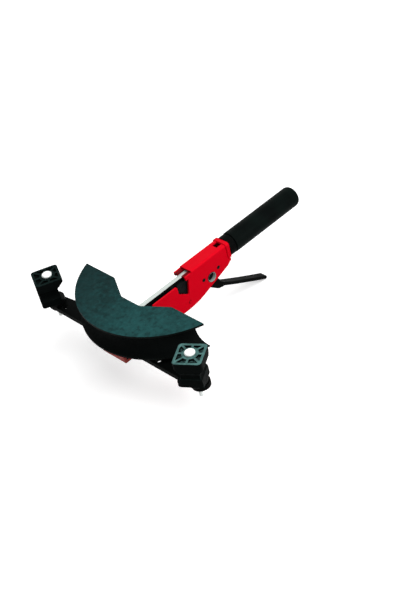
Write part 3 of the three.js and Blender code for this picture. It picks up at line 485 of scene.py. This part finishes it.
slots = {part["node"]: part["material_slot"] for part in frame["record"]["subparts"]}
for name, obj in nodes.items():
    obj.data.materials.clear()
    for finish in own_pairs.get(name, slot_pairs[slots[name]]):
        obj.data.materials.append(finish)
    smooth(obj.data)
    if name not in SPRINGS:
        fine_edges(obj, EDGE_WIDTHS.get(name, OTHER_EDGE_WIDTH))


# Added detail, in millimetres from the arc centre


def at(x, y, z):
    return ARC_CENTRE + Vector((x, y, z)) * MM


def local_box(name):
    low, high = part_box(name)
    return (low - ARC_CENTRE) / MM, (high - ARC_CENTRE) / MM


def piece(name, points, faces, slot, edge=0.0):
    """A closed piece in the finish of its slot."""
    mesh = bpy.data.meshes.new(name)
    mesh.from_pydata([at(*p) for p in points], [], faces)
    mesh.validate()
    shape = bmesh.new()
    shape.from_mesh(mesh)
    bmesh.ops.recalc_face_normals(shape, faces=shape.faces)
    shape.to_mesh(mesh)
    shape.free()
    smooth(mesh)
    mesh.materials.append(slot_pairs[slot][0])
    made = bpy.data.objects.new(name, mesh)
    bpy.context.scene.collection.objects.link(made)
    if edge:
        round_edges(made, edge)
    return made


def grid_faces(rows, columns, wrap_rows=False):
    """Quads between rings of points, each ring closed."""
    faces = []
    for i in range(rows if wrap_rows else rows - 1):
        for j in range(columns):
            k = (j + 1) % columns
            a, b = i * columns, (i + 1) % rows * columns
            faces.append((a + j, a + k, b + k, b + j))
    return faces


def ring_angles(steps):
    return [2 * math.pi * j / steps for j in range(steps)]


# Springs: smooth wire with closed end coils

WIRE_SIDES = 10
COIL_STEPS = 22
CLOSED_PITCH = 1.08      # of closed turns, against the wire's thickness


def wire(path, radius):
    """A round wire along a path, closed at both ends."""
    path = [Vector(p) for p in path]
    side = (path[1] - path[0]).normalized().orthogonal().normalized()
    points = []
    for i, centre in enumerate(path):
        ahead = (path[min(i + 1, len(path) - 1)] - path[max(i - 1, 0)]).normalized()
        side = (side - ahead * side.dot(ahead)).normalized()
        up = ahead.cross(side)
        for angle in ring_angles(WIRE_SIDES):
            points.append(centre + (side * math.cos(angle) + up * math.sin(angle)) * radius)
    faces = grid_faces(len(path), WIRE_SIDES)
    last = (len(path) - 1) * WIRE_SIDES
    faces.append(tuple(range(WIRE_SIDES)))
    faces.append(tuple(last + j for j in range(WIRE_SIDES)))
    return points, faces


def coil(low, high, radius, wire_radius, turns, start=0.0):
    """Points of a coil between two places, its first and last turn lying closed."""
    axis = (high - low).normalized()
    side = axis.orthogonal().normalized()
    up = axis.cross(side)
    closed = 2 * wire_radius * CLOSED_PITCH
    open_pitch = ((high - low).length - 2 * closed) / (turns - 2)
    points = []
    count = round(turns * COIL_STEPS)
    for i in range(count + 1):
        turn = turns * i / count
        along = closed * min(turn, 1.0)
        along += open_pitch * max(0.0, min(turn, turns - 1) - 1.0)
        along += closed * max(0.0, turn - (turns - 1))
        angle = start + 2 * math.pi * turn
        round_axis = side * math.cos(angle) + up * math.sin(angle)
        points.append(low + axis * along + round_axis * radius)
    return points


def spring_size(name, wire_radius, axis):
    low, high = local_box(name)
    radius = (high.x - low.x) / 2 - wire_radius
    start, end = (low + high) / 2, (low + high) / 2
    start[axis] = low[axis] + wire_radius
    end[axis] = high[axis] - wire_radius
    return start, end, radius


def pawl_spring(node, wire_radius, turns, room=0.0):
    """An upright spring that takes the place of its part.

    room keeps the coil off what lies behind it.
    """
    start, end, radius = spring_size(node, wire_radius, axis=2)
    radius -= room
    start.y -= room
    end.y -= room
    path = coil(start, end, radius, wire_radius, turns)
    made = piece(node + "_wire", *wire(path, wire_radius), "bright_steel")
    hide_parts(node)
    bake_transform(made)


RETURN_WIRE_RADIUS = 0.45
RETURN_TURNS = 11
HOOK_ROOM = 2.2
HOOK_GAP = 0.12
HOOK_START, HOOK_END = math.radians(125), math.radians(280)
HOOK_STEPS = 12
LEG_SUNK = 3.4
COIL_RISE = 1.5
BRIDGE_SHARES = (0.35, 0.7)


def pull_spring(node):
    """The lever's spring: a coil, a hook round its anchor pin and a leg in the lever's foot."""
    start, end, radius = spring_size(node, RETURN_WIRE_RADIUS, axis=1)
    pin_low, pin_high = local_box("spring_anchor_pin")
    pin = (pin_low + pin_high) / 2
    bend = (pin_high.z - pin_low.z) / 2 + RETURN_WIRE_RADIUS + HOOK_GAP
    start.y += HOOK_ROOM
    end.y -= HOOK_ROOM / 2
    end.z += COIL_RISE
    body = coil(start, end, radius, RETURN_WIRE_RADIUS, RETURN_TURNS, start=math.pi)
    hook = []
    for i in range(HOOK_STEPS + 1):
        angle = HOOK_START + (HOOK_END - HOOK_START) * i / HOOK_STEPS
        hook.append(Vector((0, pin.y + bend * math.cos(angle), pin.z + bend * math.sin(angle))))
    rise = [hook[-1].lerp(body[0], share) for share in BRIDGE_SHARES]
    heel = Vector((0, end.y + HOOK_ROOM, end.z))
    leg = [body[-1].lerp(heel, share) for share in BRIDGE_SHARES]
    leg += [heel, heel + Vector((0, LEG_SUNK, 0))]
    path = hook + rise + body + leg
    made = piece(node + "_wire", *wire(path, RETURN_WIRE_RADIUS), "bright_steel")
    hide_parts(node)
    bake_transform(made)


pawl_spring("holding_pawl_spring", wire_radius=0.35, turns=7)
pawl_spring("drive_pawl_spring", wire_radius=0.3, turns=11,
            room=0.33)
pull_spring("lever_return_spring")


# Retaining clips: split rings with inner lobes

CLIP_WIDTH = 3.1
CLIP_TAPER = 0.2
CLIP_LOBE_DEPTH = 1.6
CLIP_LOBE_POWER = 6
CLIP_LOBES = 3
CLIP_OPENING = math.radians(33)
CLIP_STEPS = 44
CLIP_EDGE = 0.25


def clip(hand):
    node = "retaining_ring_" + hand
    low, high = local_box(node)
    middle = (low + high) / 2
    outer = (high.x - low.x) / 2
    rim, inside = [], []
    for i in range(CLIP_STEPS + 1):
        angle = CLIP_OPENING + 2 * (math.pi - CLIP_OPENING) * i / CLIP_STEPS
        lobe = abs(math.cos(CLIP_LOBES / 2 * (angle - math.pi))) ** CLIP_LOBE_POWER
        rim.append((angle, outer - CLIP_TAPER * (1 - abs(math.cos(angle / 2)))))
        inside.append((angle, outer - CLIP_WIDTH + CLIP_LOBE_DEPTH * (1 - lobe)))
    points = []
    for height in (low.z, high.z):
        for angle, radius in rim + inside:
            points.append((middle.x + radius * math.cos(angle),
                           middle.y + radius * math.sin(angle), height))
    ring = CLIP_STEPS + 1
    level = 2 * ring
    faces = []
    for i in range(CLIP_STEPS):
        faces.append((i, i + 1, ring + i + 1, ring + i))
        faces.append((level + i, level + ring + i, level + ring + i + 1, level + i + 1))
        faces.append((i, level + i, level + i + 1, i + 1))
        faces.append((ring + i, ring + i + 1, level + ring + i + 1, level + ring + i))
    for i in (0, CLIP_STEPS):
        faces.append((i, ring + i, level + ring + i, level + i))
    made = piece("retaining_clip_" + hand, points, faces, "black_steel", CLIP_EDGE)
    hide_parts(node)
    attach(made, "frame")


# Hexagon nuts and screws with turned-down corners and a short run of thread

SCREW_STEPS = 72
SCREW_SHANK = 3.0
SCREW_AXIS = 0.05        # radius at which a turned form closes
FACE_SHARE = 0.84        # round face of a hexagon, against its corners
DISH_FLOOR_SHARE, DISH_RIM_SHARE = 0.5, 0.58
DISH_DEPTH = 0.5
HEAD_HEIGHT = 4.0
HEAD_CHAMFER, HEAD_BACK_CHAMFER = 0.6, 0.3
NUT_CHAMFER = 0.45
NUT_BORE_ROOM, NUT_BORE_CHAMFER = 0.3, 0.25
THREAD_PITCH, THREAD_DEPTH = 0.8, 0.35
SCREW_END_CHAMFER = 0.5


def hexagon(angle, corner):
    """Distance from the middle to the side of a hexagon that has a corner along X."""
    sixth = math.pi / 3
    off_corner = abs((angle + sixth / 2) % sixth - sixth / 2)
    return corner * math.cos(sixth / 2) / math.cos(sixth / 2 - off_corner)


def screw_set(hand):
    screw_low, screw_high = local_box("beam_screw_" + hand)
    nut_low, nut_high = local_box("beam_nut_" + hand)
    middle = (screw_low + screw_high) / 2
    corner = (screw_high.x - screw_low.x) / 2
    face = corner * FACE_SHARE

    def turned(name, levels):
        """A hexagon turned down to a radius at each height."""
        points = []
        for height, limit in levels:
            for angle in ring_angles(SCREW_STEPS):
                radius = min(limit, hexagon(angle, corner))
                points.append((middle.x + radius * math.cos(angle),
                               middle.y + radius * math.sin(angle), height))
        faces = grid_faces(len(levels), SCREW_STEPS, wrap_rows=True)
        made = piece(name + "_cut_" + hand, points, faces, "black_steel")
        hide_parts(name + "_" + hand)
        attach(made, "frame")

    low, high = nut_low.z, nut_high.z
    bore = SCREW_SHANK + NUT_BORE_ROOM
    turned("beam_nut", [
        (low, bore), (low, face), (low + NUT_CHAMFER, corner), (high - NUT_CHAMFER, corner),
        (high, face), (high, bore + NUT_BORE_CHAMFER), (high - NUT_BORE_CHAMFER, bore),
    ])

    low, high = screw_low.z, screw_high.z
    back = low + HEAD_HEIGHT
    levels = [
        (low + DISH_DEPTH, SCREW_AXIS), (low + DISH_DEPTH, corner * DISH_FLOOR_SHARE),
        (low, corner * DISH_RIM_SHARE), (low, face), (low + HEAD_CHAMFER, corner),
        (back - HEAD_BACK_CHAMFER, corner), (back, face), (back, SCREW_SHANK),
    ]
    height = nut_low.z - 2 * THREAD_PITCH
    while height < high - 2 * THREAD_PITCH:
        levels += [(height, SCREW_SHANK), (height + THREAD_PITCH / 2, SCREW_SHANK - THREAD_DEPTH)]
        height += THREAD_PITCH
    levels += [(high - THREAD_PITCH, SCREW_SHANK), (high, SCREW_SHANK - SCREW_END_CHAMFER),
               (high, SCREW_AXIS)]
    turned("beam_screw", levels)


# Grip ridges on the thumb pads

RIDGE_COUNT = 6
RIDGE_FIRST, RIDGE_PITCH = 6.4, 2.3
RIDGE_SUNK = 0.15
RIDGE_HEIGHTS = (-27.2, -26.6, -21.2, -20.6)
RIDGE_RADII = (0.12, 0.42, 0.42, 0.12)
RIDGE_STRETCH = 1.5
RIDGE_SIDES = 10


def thumb_ridges():
    pad = local_box("holding_pawl")[1].x
    points, faces = [], []
    for side in (-1, 1):
        for k in range(RIDGE_COUNT):
            x, y = (pad - RIDGE_SUNK) * side, RIDGE_FIRST + RIDGE_PITCH * k
            base = len(points)
            for z, radius in zip(RIDGE_HEIGHTS, RIDGE_RADII):
                for angle in ring_angles(RIDGE_SIDES):
                    points.append((x + side * radius * math.cos(angle),
                                   y + RIDGE_STRETCH * radius * math.sin(angle), z))
            last = base + (len(RIDGE_RADII) - 1) * RIDGE_SIDES
            quads = grid_faces(len(RIDGE_RADII), RIDGE_SIDES)
            faces += [tuple(base + corner for corner in quad) for quad in quads]
            faces += [tuple(range(base, base + RIDGE_SIDES)), tuple(range(last, last + RIDGE_SIDES))]
    made = piece("thumb_ridges", points, faces, "black_steel")
    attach(made, "holding_pawl")


for hand in ("left", "right"):
    clip(hand)
    screw_set(hand)
thumb_ridges()


# Floor, light and camera

FLOOR_HALF = 6.0
FLOOR_DROP = 1.0
FLOOR_ROUGHNESS = 0.9
FLOOR_WHITE = (0.98, 0.98, 0.98)
FLOOR_BOUNCE = (0.45, 0.45, 0.45)
FLOOR_GLOW = 0.38
FLOOR_NEAR, FLOOR_FAR = 0.5, 2.2
WORLD_LIGHT = 0.3
LIGHT_AIM = (0, 0, 0.05)
PANELS = {
    "key": {"place": (0.5, 0.1, 1.5), "size": (1.6, 1.6), "power": 22},
    "sheen": {"place": (-1.0, 0.7, 0.9), "size": (1.2, 0.8), "power": 3},
    "side": {"place": (1.5, 0.5, 0.6), "size": (0.9, 0.7), "power": 13},
}


def aim(obj, place, target, roll=0.0):
    forward = (Vector(target) - Vector(place)).normalized()
    right = forward.cross(Vector((0, 0, 1))).normalized()
    up = right.cross(forward)
    turn = Matrix((right, up, -forward)).transposed().to_4x4()
    obj.matrix_world = Matrix.Translation(place) @ turn @ Matrix.Rotation(math.radians(roll), 4, "Z")


def panel(name, place, size, power):
    data = bpy.data.lights.new(name, "AREA")
    data.shape = "RECTANGLE"
    data.size, data.size_y = size
    data.energy = power
    light = bpy.data.objects.new(name, data)
    bpy.context.scene.collection.objects.link(light)
    aim(light, place, LIGHT_AIM)


def seen_rays(tree):
    """High for rays that show the white: from the camera, in gloss and through glass."""
    path = tree.nodes.new("ShaderNodeLightPath")
    total = path.outputs["Is Camera Ray"]
    for ray in ("Is Glossy Ray", "Is Transmission Ray"):
        most = tree.nodes.new("ShaderNodeMath")
        most.operation = "MAXIMUM"
        tree.links.new(total, most.inputs[0])
        tree.links.new(path.outputs[ray], most.inputs[1])
        total = most.outputs["Value"]
    return total


def floor():
    """A white floor that keeps soft shadows and turns plain white with distance."""
    mesh = bpy.data.meshes.new("floor")
    corners = [(-1, -1), (1, -1), (1, 1), (-1, 1)]
    mesh.from_pydata([(x * FLOOR_HALF, y * FLOOR_HALF, 0) for x, y in corners], [], [(0, 1, 2, 3)])
    obj = bpy.data.objects.new("floor", mesh)
    obj.location.z = -FLOOR_DROP * MM
    bpy.context.scene.collection.objects.link(obj)
    material = bpy.data.materials.new("floor")
    material.use_nodes = True
    tree = material.node_tree
    shader = tree.nodes["Principled BSDF"]
    shader.inputs["Roughness"].default_value = FLOOR_ROUGHNESS
    shader.inputs["Specular IOR Level"].default_value = 0.0
    seen = seen_rays(tree)
    mix = tree.nodes.new("ShaderNodeMix")
    mix.data_type = "RGBA"
    mix.inputs[6].default_value = linear(FLOOR_BOUNCE)
    mix.inputs[7].default_value = linear(FLOOR_WHITE)
    tree.links.new(seen, mix.inputs[0])
    tree.links.new(mix.outputs[2], shader.inputs["Base Color"])
    place = tree.nodes.new("ShaderNodeTexCoord")
    away = tree.nodes.new("ShaderNodeVectorMath")
    away.operation = "LENGTH"
    tree.links.new(place.outputs["Object"], away.inputs[0])
    fade = tree.nodes.new("ShaderNodeMapRange")
    fade.interpolation_type = "SMOOTHSTEP"
    fade.inputs["From Min"].default_value = FLOOR_NEAR
    fade.inputs["From Max"].default_value = FLOOR_FAR
    fade.inputs["To Min"].default_value = FLOOR_GLOW
    fade.inputs["To Max"].default_value = 1.0
    tree.links.new(away.outputs["Value"], fade.inputs["Value"])
    glow = tree.nodes.new("ShaderNodeMath")
    glow.operation = "MULTIPLY"
    tree.links.new(seen, glow.inputs[0])
    tree.links.new(fade.outputs["Result"], glow.inputs[1])
    shader.inputs["Emission Color"].default_value = linear(WHITE)
    tree.links.new(glow.outputs["Value"], shader.inputs["Emission Strength"])
    mesh.materials.append(material)


def studio():
    world = bpy.data.worlds.new("studio")
    bpy.context.scene.world = world
    world.use_nodes = True
    tree = world.node_tree
    back = tree.nodes["Background"]
    back.inputs["Color"].default_value = linear(WHITE)
    level = tree.nodes.new("ShaderNodeMapRange")
    level.inputs["To Min"].default_value = WORLD_LIGHT
    level.inputs["To Max"].default_value = 1.0
    tree.links.new(seen_rays(tree), level.inputs["Value"])
    tree.links.new(level.outputs["Result"], back.inputs["Strength"])
    for name, choices in PANELS.items():
        panel(name, **choices)


floor()
studio()

camera_data = bpy.data.cameras.new("camera")
camera_data.lens = CAMERA_LENS
camera_data.sensor_width = CAMERA_SENSOR
camera = bpy.data.objects.new("camera", camera_data)
bpy.context.scene.collection.objects.link(camera)
aim(camera, CAMERA_PLACE, CAMERA_TARGET, CAMERA_ROLL)
bpy.context.scene.camera = camera
bpy.context.scene.view_settings.view_transform = "Standard"
